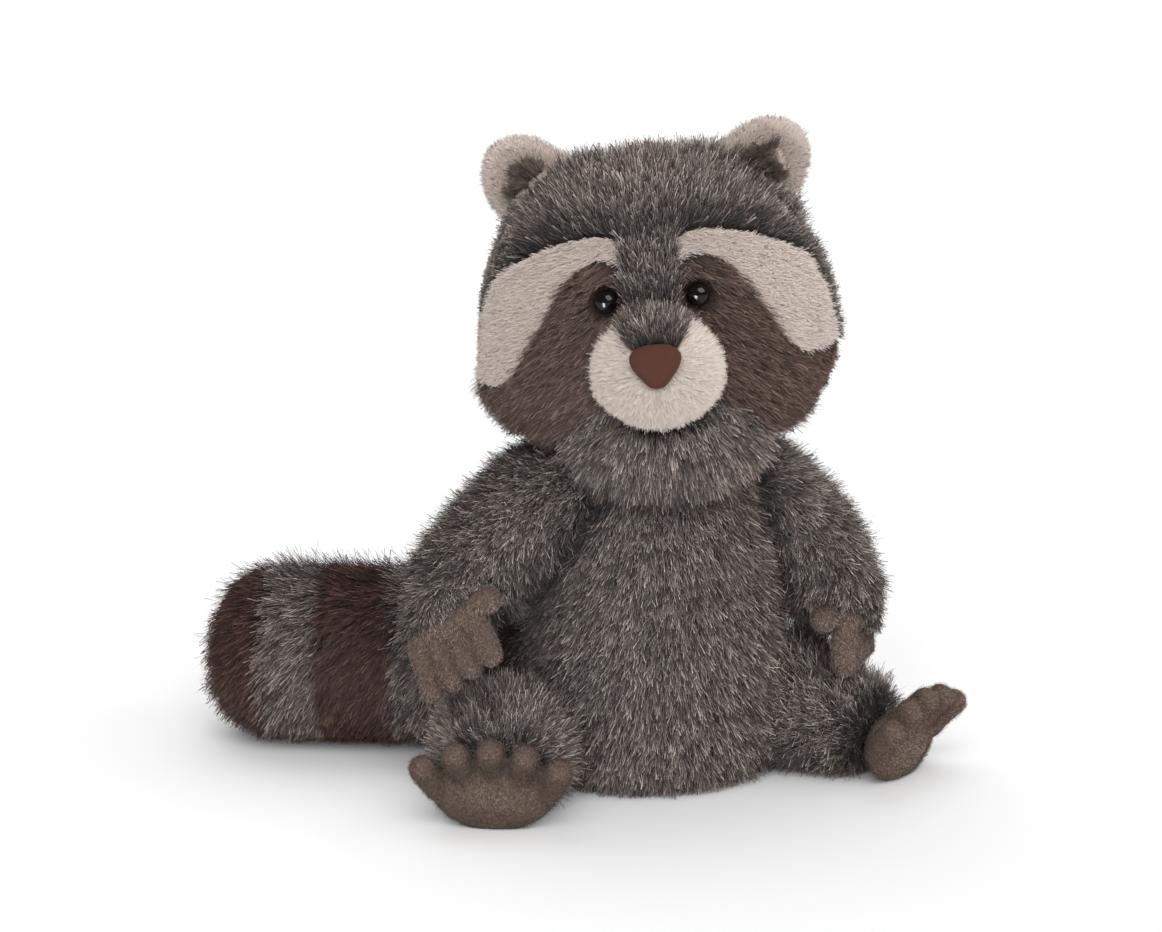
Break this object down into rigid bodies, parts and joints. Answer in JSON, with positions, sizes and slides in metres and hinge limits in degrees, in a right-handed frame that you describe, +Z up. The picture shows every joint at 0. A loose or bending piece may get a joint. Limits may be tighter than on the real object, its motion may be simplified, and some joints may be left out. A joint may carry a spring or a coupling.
{
  "type": "plush raccoon",
  "caption": "Seated plush raccoon with a masked face, cream brow stripes and muzzle, velour paws and a ringed tail lying behind it.",
  "frame": {"origin": "middle of the flat seat under the body", "axes": "+Z up, the body faces -Y, the raccoon's own right side is at -X"},
  "size_m": [0.2791, 0.2298, 0.2742],
  "materials": {
    "grey_fur": "salt-and-pepper grey-brown plush pile, dark at the root and pale at the tips",
    "cream_fur": "dense short cream plush pile",
    "mask_fur": "medium brown plush pile combed outwards",
    "inner_ear_fur": "dark brown plush pile",
    "brown_fur": "dark brown long plush pile",
    "velour": "very short taupe velour pile",
    "suede": "matt brown suede",
    "eye_gloss": "glossy black domed safety eye"
  },
  "bodies": {
    "root": {"head": "grey_fur", "brow_stripe_left": "cream_fur", "brow_stripe_right": "cream_fur", "mask_left": "mask_fur", "mask_right": "mask_fur", "muzzle": "cream_fur", "nose_bridge": "grey_fur", "nose": "suede", "eye_left": "eye_gloss", "eye_right": "eye_gloss", "chin_gusset": "grey_fur", "ear_left": "cream_fur", "ear_right": "cream_fur", "inner_ear_left": "inner_ear_fur", "inner_ear_right": "inner_ear_fur", "body": "grey_fur", "arm_left": "grey_fur", "arm_right": "grey_fur", "hand_left": "velour", "hand_right": "velour", "leg_left": "grey_fur", "leg_right": "grey_fur", "foot_left": "velour", "foot_right": "velour", "tail_tip": "brown_fur", "tail_band_1": "grey_fur", "tail_band_2": "brown_fur", "tail_band_3": "grey_fur", "tail_band_4": "brown_fur", "tail_root": "grey_fur"}
  },
  "joints": []
}
